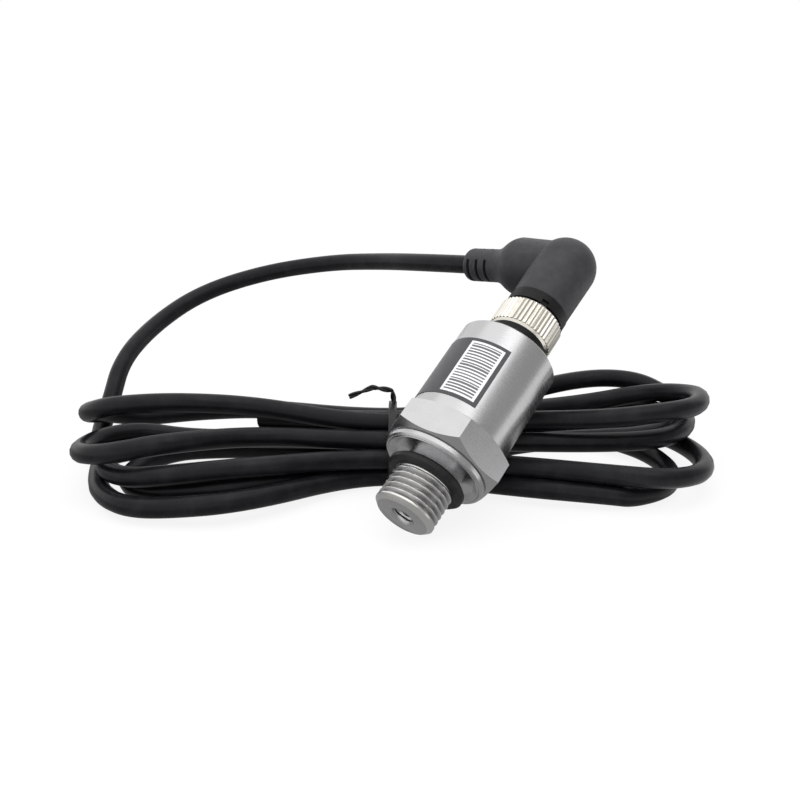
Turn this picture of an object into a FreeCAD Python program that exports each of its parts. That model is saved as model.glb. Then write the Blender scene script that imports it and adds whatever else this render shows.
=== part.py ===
import FreeCAD, Part
import math
import os

# A G1/4 pressure transmitter with its plugged-in M12 elbow cordset, in millimetres.
# +Z is up from the surface that the thread end and the coiled cable rest on, and +X is
# the way the body leans.  The origin is the middle of the footprint of the transmitter
# and plug, without the cable.  Every turned piece is drawn in its own "bench" frame: the
# axis is +Z from the pressure port upwards, and angles are counted round that axis.

# ---- how the body lies ----
LEAN_ANGLE = 34.6          # body axis above the horizontal
HEX_CORNER_ANGLE = 131.2   # one corner of the hexagon, round the body axis
ARM_ANGLE = -6.6           # way the elbow's arm points, round the body axis

# ---- process connection: G1/4 stud, seal groove, collar, hexagon, spigot ----
THREAD_R = 6.5785          # G1/4 major radius
THREAD_LENGTH = 8.3
TIP_CHAMFER = 0.9
STUD_LENGTH = 12.0         # port face to collar
NECK_R = 6.1               # undercut that carries the seal ring
PORT_R = 2.4
PORT_CHAMFER = 0.4
SEAL_GAP = 0.4             # seal ring to the wall of its pocket
SEAL_HEIGHT = 2.1
SEAL_CORNER = 0.6
COLLAR_R = 11.15
COLLAR_HEIGHT = 1.6
COLLAR_BREAK = 0.35
RECESS_R = 8.9             # pocket in the collar that the seal ring is pressed into
RECESS_DEPTH = 0.9
DISH_R = 10.1              # the pocket's wall opens out to this, inside the collar's lips
LIP_GROOVE_R = 10.45       # the groove that parts the collar's two lips
LIP_GROOVE_HALF = 0.2
HEX_ACROSS_FLATS = 23.4    # 24 mm spanner size, at the small end of its tolerance
HEX_HEIGHT = 7.1
HEX_CHAMFER_TILT = 30.0
HEX_FACE_INSET = 0.4       # flats to the circle that the two hexagon chamfers start from
SPIGOT_HEIGHT = 2.9        # stands up inside the sleeve

# ---- ceramic measuring cell and its clamping ----
CELL_R = 9.0
CELL_HEIGHT = 6.3
CELL_BREAK = 0.4
CELL_CLEARANCE = 0.15
POCKET_FLOOR = 1.3         # metal left between the collar and the cell
CELL_SEAL_SECTION = 1.6
CELL_SEAL_R = 6.2          # middle radius of the cell's O-ring
CELL_SEAL_DEPTH = 1.1      # groove depth
CLAMP_INNER_R = 6.2
CLAMP_HEIGHT = 2.0
CLAMP_FIT = 0.05
CLAMP_SLOT = 1.6
LEAD_PIN_R = 0.3
LEAD_PIN_CIRCLE_R = 3.4
PIN_COUNT = 4

# ---- sleeve, label ----
SLEEVE_R = 11.1
SLEEVE_WALL = 1.2
SLEEVE_LENGTH = 23.1
SLEEVE_BREAK = 0.4
LIP_THICKNESS = 1.4
LABEL_THICKNESS = 0.12
LABEL_START = 2.5          # above the hexagon
LABEL_LENGTH = 15.1
LABEL_EDGE_ANGLE = 129.2   # the edge of the label that faces the same way as the hexagon corner
LABEL_WRAP = 150.0

# ---- electronics ----
BOARD_THICKNESS = 1.0
SPACER_HEIGHT = 2.0
SPACER_WALL = 1.2
ROUND_BOARD_CLEARANCE = 0.3
MAIN_BOARD_WIDTH = 16.0
CHIP_SIZE = 6.0
CHIP_HEIGHT = 1.2
CHIP_ABOVE_BOARD = 4.0
CAPACITOR = (1.6, 0.8, 0.9)
CAPACITOR_COUNT = 3
CAPACITOR_PITCH = 3.2

# ---- M12 connector in the top of the sleeve ----
M12_R = 6.0
M12_LENGTH = 4.4
CONNECTOR_LEDGE = 1.0      # neck outside the M12 thread
CONNECTOR_NECK_TOP = 3.8   # above the sleeve
FLANGE_HEIGHT = 1.9
FLANGE_CLEARANCE = 0.2
NECK_CLEARANCE = 0.2
SOCKET_WALL = 1.65         # M12 thread to the hollow inside it
WEB_TOP = 1.2              # floor of that hollow, above the sleeve
TOP_SEAL_SECTION = 1.1
PIN_R = 0.5
PIN_CIRCLE_R = 2.5
PIN_STANDOFF = 0.8         # pin tips stay this far inside the threaded end
PIN_TAIL = 1.0             # pins reach this far below the flange
LEAD_WIRE_R = 0.25

# ---- elbow plug ----
NUT_RIM = 1.3              # nut outside the M12 thread
NUT_HEIGHT = 7.0
NUT_SEAT = 0.35            # nut to connector neck
NUT_END_STEP = 0.6         # the nut's ends are this much narrower
NUT_CHAMFER = 0.6
KNURL_COUNT = 46
KNURL_DEPTH = 0.28
KNURL_LAND = (0.1, 0.4)    # flat top of each ridge, as shares of one pitch
KNURL_VALLEY = 0.75
NUT_WALL = 0.9             # inner shoulder that draws the plug down
THREAD_FIT = 0.04
RUNNING_FIT = 0.05
AXIAL_PLAY = 0.1
NOSE_FIT = 0.15            # plug nose in the hollow
NOSE_CLEARANCE = 0.3       # plug nose to the floor of the hollow
FACE_SEAL_HEIGHT = 0.9
FACE_SEAL_INSET = 0.4      # seal inside the M12 thread's radius
INSERT_FLANGE_INSET = 0.25
INSERT_FLANGE_LIP = 0.65   # flange outside the insert's neck
INSERT_DEPTH = 3.4         # reach of the insert into the overmould
CONTACT_R = 0.85
CONTACT_BORE_R = 0.52
CONTACT_RECESS = 0.3
CONTACT_BORE_DEPTH = 7.0
LOCK_RING_STEP = 0.45      # nut outside the lock ring
LOCK_RING_HEIGHT = 2.7
LOCK_RING_GAP = 0.3
LOCK_NOTCH = (1.6, 0.5, 1.1)
BARREL_STEP = 0.6          # nut outside the start of the barrel
BARREL_TAPER = 0.3         # the barrel widens this much up to the dome
DOME_HEIGHT = 12.85        # lock ring to the middle of the dome
ARM_R = 6.25
ARM_SHOULDER = 11.5        # from the body axis, where the arm starts to narrow
ARM_CURVE = 0.45           # how far each end's slope reaches into the narrowing
RELIEF_WALL = 1.7          # strain relief round the cable
RELIEF_START = 18.8
RELIEF_END = 27.0
RELIEF_ROUND = 1.2
RELIEF_SLOT_WIDTH = 0.8
RELIEF_SLOT_DEPTH = 1.1
RELIEF_SLOT_COUNT = 3
RELIEF_SLOT_PITCH = 2.5
RELIEF_SLOT_FIRST = 1.6
RELIEF_BRIDGE = 1.7        # half width of the webs that tie the relief's ribs together
CORE_R = 0.5
CORE_SPREAD = 1.05

# ---- cable ----
CABLE_R = 2.2
LEAD_FIRST_RUN = 16.0      # straight out of the strain relief
# Where the lead goes from there to the coil, in the part's frame.
LEAD_POINTS = [
    (35.0, 53.0, 38.5),
    (35.5, 71.0, 36.0),
    (26.5, 88.0, 32.5),
    (10.5, 96.3, 28.4),
    (-6.0, 96.2, 23.0),
    (-22.0, 90.3, 17.7),
    (-34.0, 82.0, 11.3),
    (-42.0, 71.0, 6.0),
]
ARC_SHARE = 0.45           # share of the shorter run that each bend takes up

# ---- tied coil: two lobes and a waist, in a frame turned about +Z ----
COIL_TURN = -51.2
COIL_WAIST = (-6.4, 16.7)               # middle of the waist, in the part's frame
LEFT_LOBE = (-36.7, -1.5, 35.0, 23.5)   # middle x and y, half length, half width
RIGHT_LOBE = (38.5, 6.4, 37.0, 27.0)
LOBE_BAND = 15.0
LOBE_HEIGHT = 18.5
LOBE_SLOPE = (8.0, 34.0)                # from the waist's height up to the lobes', along x
WAIST_LENGTH = 44.0
WAIST_WIDTH = 21.0
WAIST_HEIGHT = 15.5
COIL_CLEARANCE = 0.3
UNSCREWING_TRAVEL = 4.0                 # the plug backs off this far as the nut lets go

# ---- twist tie round the waist, in the coil's frame ----
TIE_X = 1.0
TIE_GROUND_GAP = 0.05      # the band is just off the ground
TIE_WIDTH = 1.8
TIE_THICKNESS = 0.7
TIE_CORNER = 3.0
TIE_TAIL_R = 0.55
TIE_TAIL = [(1.4, 3.6, 15.6), (0.9, 3.8, 19.2), (-3.5, 4.2, 19.6), (-9.5, 5.2, 16.8)]


# ---------------------------------------------------------------- heights up the body

COLLAR_Z = STUD_LENGTH
HEX_Z = COLLAR_Z + COLLAR_HEIGHT
SHOULDER_Z = HEX_Z + HEX_HEIGHT                 # the sleeve stands here
SPIGOT_TOP = SHOULDER_Z + SPIGOT_HEIGHT
CELL_Z = HEX_Z + POCKET_FLOOR
CLAMP_Z = CELL_Z + CELL_HEIGHT
SPACER_Z = CLAMP_Z + CLAMP_HEIGHT
BOARD_Z = SPACER_Z + SPACER_HEIGHT
SLEEVE_TOP = SHOULDER_Z + SLEEVE_LENGTH
LIP_Z = SLEEVE_TOP - LIP_THICKNESS
FLANGE_Z = LIP_Z - FLANGE_HEIGHT
NECK_TOP = SLEEVE_TOP + CONNECTOR_NECK_TOP
M12_TOP = NECK_TOP + M12_LENGTH
WEB_Z = SLEEVE_TOP + WEB_TOP
NUT_Z = NECK_TOP + NUT_SEAT
NUT_TOP = NUT_Z + NUT_HEIGHT
NUT_SHOULDER_Z = NUT_TOP - NUT_WALL
INSERT_FLANGE_Z = M12_TOP + FACE_SEAL_HEIGHT
LOCK_RING_Z = NUT_TOP + LOCK_RING_GAP
BARREL_Z = LOCK_RING_Z + LOCK_RING_HEIGHT
DOME_Z = BARREL_Z + DOME_HEIGHT
INSERT_TOP = BARREL_Z + INSERT_DEPTH

# ---------------------------------------------------------------- radii that follow others

SEAL_OUTER_R = RECESS_R - SEAL_GAP
SLEEVE_INNER_R = SLEEVE_R - SLEEVE_WALL
POCKET_R = CELL_R + CELL_CLEARANCE
HEX_CORNER_R = HEX_ACROSS_FLATS / math.sqrt(3)
HEX_FACE_R = HEX_ACROSS_FLATS / 2 - HEX_FACE_INSET
CONNECTOR_NECK_R = M12_R + CONNECTOR_LEDGE
TOP_SEAL_R = (CONNECTOR_NECK_R + SLEEVE_INNER_R) / 2
SOCKET_R = M12_R - SOCKET_WALL
NOSE_R = SOCKET_R - NOSE_FIT
FACE_SEAL_R = M12_R - FACE_SEAL_INSET
INSERT_FLANGE_R = M12_R - INSERT_FLANGE_INSET
INSERT_NECK_R = INSERT_FLANGE_R - INSERT_FLANGE_LIP
NUT_R = M12_R + NUT_RIM
NUT_END_R = NUT_R - NUT_END_STEP
LOCK_RING_R = NUT_R - LOCK_RING_STEP
BARREL_R = NUT_R - BARREL_STEP
DOME_R = BARREL_R + BARREL_TAPER
RELIEF_R = CABLE_R + RELIEF_WALL


# ---------------------------------------------------------------- helpers

def v(x, y, z):
    return FreeCAD.Vector(x, y, z)


def polar(radius, angle, z=0.0):
    """A point at a radius and an angle in degrees round the bench axis."""
    return v(radius * math.cos(math.radians(angle)), radius * math.sin(math.radians(angle)), z)


def turned(outline):
    """A turned piece: an outline of (radius, height) points revolved round the bench axis."""
    points = [v(r, 0, z) for r, z in outline]
    face = Part.Face(Part.makePolygon(points + [points[0]]))
    return face.revolve(v(0, 0, 0), v(0, 0, 1), 360)


def rod(radius, z0, z1, x=0.0, y=0.0):
    return Part.makeCylinder(radius, z1 - z0, v(x, y, z0))


def ring(outer, inner, z0, z1):
    return rod(outer, z0, z1).cut(rod(inner, z0 - 1, z1 + 1))


def block(length, width, z0, z1, x=0.0, y=0.0):
    """A box with its middle at x, y."""
    return Part.makeBox(length, width, z1 - z0, v(x - length / 2, y - width / 2, z0))


def seal_ring(outer, inner, z0, z1, corner):
    """A moulded seal ring with its corners taken off."""
    return turned([
        (inner, z0 + corner), (inner + corner, z0), (outer - corner, z0), (outer, z0 + corner),
        (outer, z1 - corner), (outer - corner, z1), (inner + corner, z1), (inner, z1 - corner)])


def turn_about_axis(shape, angle):
    copy = shape.copy()
    copy.rotate(v(0, 0, 0), v(0, 0, 1), angle)
    return copy


def round_path(points):
    """A path of straight runs joined by tangent arcs as large as the runs allow."""
    edges = []
    radii = []
    start = points[0]
    for before, corner, after in zip(points, points[1:], points[2:]):
        back = before - corner
        ahead = after - corner
        reach = ARC_SHARE * min(back.Length, ahead.Length)
        back.normalize()
        ahead.normalize()
        half_turn = (math.pi - back.getAngle(ahead)) / 2
        radius = reach / math.tan(half_turn)
        enter = corner + back * reach
        leave = corner + ahead * reach
        inward = (back + ahead).normalize()
        middle = corner + inward * (radius / math.cos(half_turn) - radius)
        edges.append(Part.LineSegment(start, enter).toShape())
        edges.append(Part.Arc(enter, middle, leave).toShape())
        radii.append(radius)
        start = leave
    edges.append(Part.LineSegment(start, points[-1]).toShape())
    return Part.Wire(edges), radii


def tube_along(points, radius):
    """A round bar along a rounded path, and the radii of its bends."""
    path, radii = round_path(points)
    first = points[1] - points[0]
    section = Part.Wire(Part.makeCircle(radius, points[0], first))
    return path.makePipeShell([section], True, False, 2), path, radii


# ---------------------------------------------------------------- transmitter

def hexagon_bar():
    """The hexagon, turned down at both ends by a shallow cone."""
    corners = [polar(HEX_CORNER_R, HEX_CORNER_ANGLE + 60 * i, HEX_Z) for i in range(6)]
    bar = Part.Face(Part.makePolygon(corners + [corners[0]])).extrude(v(0, 0, HEX_HEIGHT))
    drop = (HEX_CORNER_R + 1 - HEX_FACE_R) * math.tan(math.radians(HEX_CHAMFER_TILT))
    cone = turned([(0, HEX_Z), (HEX_FACE_R, HEX_Z), (HEX_CORNER_R + 1, HEX_Z + drop),
                   (HEX_CORNER_R + 1, SHOULDER_Z - drop), (HEX_FACE_R, SHOULDER_Z),
                   (0, SHOULDER_Z)])
    return bar.common(cone)


def process_connection():
    """One stainless turning: stud, seal recess, collar, hexagon and the cell's pocket."""
    seal_in = CELL_SEAL_R - CELL_SEAL_SECTION / 2
    seal_out = CELL_SEAL_R + CELL_SEAL_SECTION / 2
    groove_z = CELL_Z - CELL_SEAL_DEPTH
    spigot_r = SLEEVE_INNER_R
    body = turned([
        (PORT_R + PORT_CHAMFER, 0), (THREAD_R - TIP_CHAMFER, 0), (THREAD_R, TIP_CHAMFER),
        (THREAD_R, THREAD_LENGTH), (NECK_R, THREAD_LENGTH), (NECK_R, COLLAR_Z + RECESS_DEPTH),
        (RECESS_R, COLLAR_Z + RECESS_DEPTH), (DISH_R, COLLAR_Z),
        (LIP_GROOVE_R - LIP_GROOVE_HALF, COLLAR_Z), (LIP_GROOVE_R, COLLAR_Z + LIP_GROOVE_HALF),
        (LIP_GROOVE_R + LIP_GROOVE_HALF, COLLAR_Z),
        (COLLAR_R - COLLAR_BREAK, COLLAR_Z), (COLLAR_R, COLLAR_Z + COLLAR_BREAK),
        (COLLAR_R, HEX_Z - COLLAR_BREAK), (COLLAR_R - COLLAR_BREAK, HEX_Z),
        (COLLAR_R - COLLAR_BREAK, SHOULDER_Z), (spigot_r, SHOULDER_Z), (spigot_r, SPIGOT_TOP),
        (POCKET_R, SPIGOT_TOP), (POCKET_R, CELL_Z), (seal_out, CELL_Z), (seal_out, groove_z),
        (seal_in, groove_z), (seal_in, CELL_Z), (PORT_R, CELL_Z), (PORT_R, PORT_CHAMFER)])
    hollow = rod(POCKET_R, CELL_Z, SPIGOT_TOP)
    groove = ring(seal_out, seal_in, groove_z, CELL_Z)
    port = rod(PORT_R, HEX_Z - 1, CELL_Z)
    return body.fuse(hexagon_bar().cut(hollow).cut(groove).cut(port)).removeSplitter()


def port_seal_ring():
    """The moulded ring that seals the stud, standing against the end of the thread."""
    return seal_ring(SEAL_OUTER_R, NECK_R, THREAD_LENGTH, THREAD_LENGTH + SEAL_HEIGHT, SEAL_CORNER)


def cell_seal():
    inner = CELL_SEAL_R - CELL_SEAL_SECTION / 2
    outer = CELL_SEAL_R + CELL_SEAL_SECTION / 2
    return ring(outer, inner, CELL_Z - CELL_SEAL_DEPTH, CELL_Z)


def sensor_cell():
    """The ceramic cell: a thick disc with broken edges."""
    return turned([(0, CELL_Z), (CELL_R - CELL_BREAK, CELL_Z), (CELL_R, CELL_Z + CELL_BREAK),
                   (CELL_R, CLAMP_Z - CELL_BREAK), (CELL_R - CELL_BREAK, CLAMP_Z), (0, CLAMP_Z)])


def cell_clamp_ring():
    """The ring screwed in over the cell, with two slots for its key."""
    body = ring(POCKET_R - CLAMP_FIT, CLAMP_INNER_R, CLAMP_Z, SPACER_Z)
    return body.cut(block(3 * POCKET_R, CLAMP_SLOT, SPACER_Z - CLAMP_HEIGHT / 2, SPACER_Z + 1))


def cell_leads():
    """Four pins from the cell up through the round board."""
    top = BOARD_Z + BOARD_THICKNESS
    pins = []
    for i in range(PIN_COUNT):
        foot = polar(LEAD_PIN_CIRCLE_R, 45 + 90 * i)
        pins.append(rod(LEAD_PIN_R, CLAMP_Z, top, foot.x, foot.y))
    return Part.makeCompound(pins)


def board_spacer():
    """The plastic ring that holds the round board off the clamping."""
    return ring(POCKET_R, POCKET_R - SPACER_WALL, SPACER_Z, BOARD_Z)


def signal_board():
    top = BOARD_Z + BOARD_THICKNESS
    disc = rod(SLEEVE_INNER_R - ROUND_BOARD_CLEARANCE, BOARD_Z, top)
    for pin in cell_leads().Solids:
        disc = disc.cut(pin)
    return disc


def main_board():
    """The upright board between the round board and the connector."""
    return block(MAIN_BOARD_WIDTH, BOARD_THICKNESS, BOARD_Z + BOARD_THICKNESS, FLANGE_Z)


def board_chip():
    z0 = BOARD_Z + BOARD_THICKNESS + CHIP_ABOVE_BOARD
    y = BOARD_THICKNESS / 2 + CHIP_HEIGHT / 2
    return block(CHIP_SIZE, CHIP_HEIGHT, z0, z0 + CHIP_SIZE, 0, y)


def board_capacitors():
    length, width, height = CAPACITOR
    z0 = BOARD_Z + BOARD_THICKNESS + CHIP_ABOVE_BOARD
    y = -BOARD_THICKNESS / 2 - height / 2
    row = []
    for i in range(CAPACITOR_COUNT):
        z = z0 + i * CAPACITOR_PITCH
        row.append(block(length, height, z, z + width, 0, y))
    return Part.makeCompound(row)


def housing_sleeve():
    """The stainless sleeve with the inward lip that holds the connector down."""
    mouth_r = CONNECTOR_NECK_R + NECK_CLEARANCE
    return turned([
        (SLEEVE_INNER_R, SHOULDER_Z), (SLEEVE_R, SHOULDER_Z), (SLEEVE_R, SLEEVE_TOP - SLEEVE_BREAK),
        (SLEEVE_R - SLEEVE_BREAK, SLEEVE_TOP), (mouth_r, SLEEVE_TOP), (mouth_r, LIP_Z),
        (SLEEVE_INNER_R, LIP_Z)])


def rating_label():
    """The plastic film label, wrapped part of the way round the sleeve."""
    z0 = SHOULDER_Z + LABEL_START
    band = ring(SLEEVE_R + LABEL_THICKNESS, SLEEVE_R, z0, z0 + LABEL_LENGTH)
    reach = 2 * SLEEVE_R
    start = LABEL_EDGE_ANGLE - LABEL_WRAP
    rim = [polar(reach, start + LABEL_WRAP * i / 3, z0) for i in range(4)]
    wedge = Part.Face(Part.makePolygon([v(0, 0, z0)] + rim + [v(0, 0, z0)]))
    return band.common(wedge.extrude(v(0, 0, LABEL_LENGTH)))


def top_seal_outline():
    half = TOP_SEAL_SECTION / 2
    return TOP_SEAL_R + half, TOP_SEAL_R - half, LIP_Z - TOP_SEAL_SECTION


def top_seal_ring():
    outer, inner, z0 = top_seal_outline()
    return ring(outer, inner, z0, LIP_Z)


def pin_feet():
    """The four contacts, in a square that is turned with the elbow's arm."""
    return [polar(PIN_CIRCLE_R, ARM_ANGLE + 45 + 90 * i) for i in range(PIN_COUNT)]


def connector_housing():
    """The black M12 connector: flange, seal groove, neck and threaded end with its hollow."""
    outer, inner, z0 = top_seal_outline()
    flange_r = SLEEVE_INNER_R - FLANGE_CLEARANCE
    body = turned([
        (0, FLANGE_Z), (flange_r, FLANGE_Z), (flange_r, LIP_Z), (outer, LIP_Z), (outer, z0),
        (inner, z0), (inner, LIP_Z), (CONNECTOR_NECK_R, LIP_Z), (CONNECTOR_NECK_R, NECK_TOP),
        (M12_R, NECK_TOP), (M12_R, M12_TOP), (SOCKET_R, M12_TOP), (SOCKET_R, WEB_Z), (0, WEB_Z)])
    for foot in pin_feet():
        body = body.cut(rod(PIN_R, FLANGE_Z - 1, WEB_Z + 1, foot.x, foot.y))
    return body


def contact_pins():
    """Four pins with coned tips."""
    top = M12_TOP - PIN_STANDOFF
    pins = []
    for foot in pin_feet():
        shaft = rod(PIN_R, FLANGE_Z - PIN_TAIL, top - PIN_R, foot.x, foot.y)
        tip = Part.makeCone(PIN_R, PIN_R / 2, PIN_R, v(foot.x, foot.y, top - PIN_R))
        pins.append(shaft.fuse(tip).removeSplitter())
    return Part.makeCompound(pins)


def pin_leads():
    """Four soldered links from the pins to the faces of the upright board."""
    links = []
    z = FLANGE_Z - PIN_TAIL
    for foot in pin_feet():
        board_y = math.copysign(BOARD_THICKNESS / 2, foot.y)
        length = abs(foot.y - board_y) + LEAD_WIRE_R
        link = block(2 * LEAD_WIRE_R, length, z - 2 * LEAD_WIRE_R, z, foot.x,
                     board_y + math.copysign(length / 2, foot.y))
        links.append(link)
    return Part.makeCompound(links)


# ---------------------------------------------------------------- elbow plug

def coupling_nut():
    """The knurled M12 nut: V grooves all round between two plain chamfered ends."""
    valley_r = NUT_R - KNURL_DEPTH
    knurl_z = NUT_Z + NUT_CHAMFER
    rim = []
    for i in range(KNURL_COUNT):
        rim.append(polar(NUT_R, 360 * (i + KNURL_LAND[0]) / KNURL_COUNT, knurl_z))
        rim.append(polar(NUT_R, 360 * (i + KNURL_LAND[1]) / KNURL_COUNT, knurl_z))
        rim.append(polar(valley_r, 360 * (i + KNURL_VALLEY) / KNURL_COUNT, knurl_z))
    band = Part.Face(Part.makePolygon(rim + [rim[0]])).extrude(v(0, 0, NUT_HEIGHT - 2 * NUT_CHAMFER))
    ends = turned([(0, NUT_Z), (NUT_END_R, NUT_Z), (valley_r, knurl_z),
                   (valley_r, NUT_TOP - NUT_CHAMFER), (NUT_END_R, NUT_TOP), (0, NUT_TOP)])
    body = band.fuse(ends)
    body = body.cut(rod(M12_R + THREAD_FIT, NUT_Z - 1, NUT_SHOULDER_Z))
    return body.cut(rod(INSERT_NECK_R + RUNNING_FIT, NUT_Z, NUT_TOP + 1))


def plug_face_seal():
    """The O-ring that the nut squeezes against the end of the threaded connector."""
    return ring(FACE_SEAL_R, NOSE_R, M12_TOP, INSERT_FLANGE_Z)


def socket_insert():
    """The contact carrier: nose, flange under the nut's shoulder, and neck in the overmould."""
    flange_top = NUT_SHOULDER_Z - AXIAL_PLAY
    nose_z = WEB_Z + NOSE_CLEARANCE
    body = turned([
        (0, nose_z), (NOSE_R, nose_z), (NOSE_R, INSERT_FLANGE_Z), (INSERT_FLANGE_R, INSERT_FLANGE_Z),
        (INSERT_FLANGE_R, flange_top), (INSERT_NECK_R, flange_top), (INSERT_NECK_R, INSERT_TOP),
        (0, INSERT_TOP)])
    for foot in pin_feet():
        body = body.cut(rod(CONTACT_R, nose_z + CONTACT_RECESS, INSERT_TOP + 1, foot.x, foot.y))
        body = body.cut(rod(PIN_R + RUNNING_FIT, nose_z - 1, nose_z + 1, foot.x, foot.y))
    return body


def socket_contacts():
    """Four sleeves that the pins push into."""
    z0 = WEB_Z + NOSE_CLEARANCE + CONTACT_RECESS
    sleeves = []
    for foot in pin_feet():
        body = rod(CONTACT_R, z0, INSERT_TOP, foot.x, foot.y)
        bore = rod(CONTACT_BORE_R, z0 - 1, z0 + CONTACT_BORE_DEPTH, foot.x, foot.y)
        sleeves.append(body.cut(bore))
    return Part.makeCompound(sleeves)


def lock_ring():
    """The ring behind the nut that keeps it from shaking loose, with one notch."""
    body = ring(LOCK_RING_R, INSERT_NECK_R, LOCK_RING_Z, BARREL_Z)
    width, depth, height = LOCK_NOTCH
    notch = block(2 * depth, width, LOCK_RING_Z - 1, LOCK_RING_Z + height, LOCK_RING_R)
    return body.cut(turn_about_axis(notch, HEX_CORNER_ANGLE))


def along_arm(shape):
    """Lay a piece drawn along the bench axis out along the elbow's arm."""
    placed = shape.copy()
    placed.rotate(v(0, 0, 0), v(0, 1, 0), 90)
    placed.translate(v(0, 0, DOME_Z))
    return turn_about_axis(placed, ARM_ANGLE)


def elbow_arm():
    """The arm: a drum that shrinks in an S curve to the strain relief's rounded end."""
    shrink = RELIEF_START - ARM_SHOULDER
    corner = [v(0, 0, 0), v(ARM_R, 0, 0), v(ARM_R, 0, ARM_SHOULDER)]
    blend = Part.BezierCurve()
    blend.setPoles([v(ARM_R, 0, ARM_SHOULDER), v(ARM_R, 0, ARM_SHOULDER + ARM_CURVE * shrink),
                    v(RELIEF_R, 0, RELIEF_START - ARM_CURVE * shrink), v(RELIEF_R, 0, RELIEF_START)])
    nose = RELIEF_END - RELIEF_ROUND
    mid = RELIEF_R - RELIEF_ROUND * (1 - math.sqrt(0.5))
    edges = [Part.LineSegment(corner[0], corner[1]).toShape(),
             Part.LineSegment(corner[1], corner[2]).toShape(),
             blend.toShape(),
             Part.LineSegment(v(RELIEF_R, 0, RELIEF_START), v(RELIEF_R, 0, nose)).toShape(),
             Part.Arc(v(RELIEF_R, 0, nose), v(mid, 0, nose + RELIEF_ROUND * math.sqrt(0.5)),
                      v(RELIEF_R - RELIEF_ROUND, 0, RELIEF_END)).toShape(),
             Part.LineSegment(v(RELIEF_R - RELIEF_ROUND, 0, RELIEF_END), v(0, 0, RELIEF_END)).toShape(),
             Part.LineSegment(v(0, 0, RELIEF_END), v(0, 0, 0)).toShape()]
    drum = Part.Face(Part.Wire(edges)).revolve(v(0, 0, 0), v(0, 0, 1), 360)
    for i in range(RELIEF_SLOT_COUNT):
        z0 = RELIEF_START + RELIEF_SLOT_FIRST + i * RELIEF_SLOT_PITCH - RELIEF_SLOT_WIDTH
        slot = ring(RELIEF_R + 1, RELIEF_R - RELIEF_SLOT_DEPTH, z0, z0 + RELIEF_SLOT_WIDTH)
        bridge = block(2 * RELIEF_BRIDGE, 3 * RELIEF_R, z0, z0 + RELIEF_SLOT_WIDTH)
        drum = drum.cut(slot.cut(bridge))
    return along_arm(drum)


def straight_rod(radius, start, end):
    return Part.makeCylinder(radius, (end - start).Length, start, end - start)


def conductor_cores():
    """Four cores: each rises from its contact, turns and runs out along the arm to the cable."""
    cores = []
    for i in range(PIN_COUNT):
        foot = polar(PIN_CIRCLE_R, 45 + 90 * i)
        across = foot * (CORE_SPREAD / PIN_CIRCLE_R)
        corner_z = DOME_Z - across.x
        start = turn_about_axis(Part.Vertex(foot.x, foot.y, INSERT_TOP), ARM_ANGLE).Point
        corner = turn_about_axis(Part.Vertex(foot.x, foot.y, corner_z), ARM_ANGLE).Point
        end = turn_about_axis(Part.Vertex(RELIEF_END, across.y, corner_z), ARM_ANGLE).Point
        elbow = Part.makeSphere(CORE_R, corner)
        rise = straight_rod(CORE_R, start, corner)
        cores.append(rise.fuse([elbow, straight_rod(CORE_R, corner, end)]))
    return Part.makeCompound(cores)


def elbow_overmold():
    """The moulded elbow: tapered barrel, domed top, arm and slotted strain relief."""
    barrel = turned([(0, BARREL_Z), (BARREL_R, BARREL_Z), (DOME_R, DOME_Z), (0, DOME_Z)])
    dome = Part.makeSphere(DOME_R, v(0, 0, DOME_Z))
    body = barrel.fuse([dome, elbow_arm()]).removeSplitter()
    body = body.cut(rod(INSERT_NECK_R, BARREL_Z - 1, INSERT_TOP))
    return body.cut(conductor_cores())


# ---------------------------------------------------------------- cable

def lobe(middle_x, middle_y, half_length, half_width):
    """One lobe of the coil: an oval band."""
    outer = Part.Ellipse(v(middle_x, middle_y, 0), half_length, half_width)
    inner = Part.Ellipse(v(middle_x, middle_y, 0), half_length - LOBE_BAND, half_width - LOBE_BAND)
    solids = []
    for oval in (outer, inner):
        face = Part.Face(Part.Wire(oval.toShape()))
        solids.append(face.extrude(v(0, 0, LOBE_HEIGHT)))
    return solids[0].cut(solids[1])


def coil_roof():
    """Everything under the top of the coil: high over the lobes and lower over the waist."""
    reach = RIGHT_LOBE[0] + RIGHT_LOBE[2] + 1
    near, far = LOBE_SLOPE
    profile = [v(-reach, 0, 0), v(-reach, 0, LOBE_HEIGHT), v(-far, 0, LOBE_HEIGHT),
               v(-near, 0, WAIST_HEIGHT), v(near, 0, WAIST_HEIGHT), v(far, 0, LOBE_HEIGHT),
               v(reach, 0, LOBE_HEIGHT), v(reach, 0, 0)]
    face = Part.Face(Part.makePolygon(profile + [profile[0]]))
    prism = face.extrude(v(0, 2 * reach, 0))
    prism.translate(v(0, -reach, 0))
    return prism


def tie_band():
    """The band of the twist tie: a flat loop round the waist, just off the ground."""
    bottom = TIE_GROUND_GAP
    outer = block(TIE_WIDTH, WAIST_WIDTH + 2 * TIE_THICKNESS, bottom, WAIST_HEIGHT + TIE_THICKNESS, TIE_X)
    inner = block(3 * TIE_WIDTH, WAIST_WIDTH, bottom + TIE_THICKNESS, WAIST_HEIGHT, TIE_X)
    return round_edges(outer, TIE_CORNER + TIE_THICKNESS).cut(round_edges(inner, TIE_CORNER))


def round_edges(box, radius):
    """Round the four edges of a box that run along X."""
    edges = [e for e in box.Edges if e.BoundBox.XLength > 0.5 * box.BoundBox.XLength]
    return box.makeFillet(radius, edges)


def twist_tie():
    tail = tube_along([v(*p) for p in TIE_TAIL], TIE_TAIL_R)[0]
    return in_coil_frame(tie_band().fuse(tail))


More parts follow.
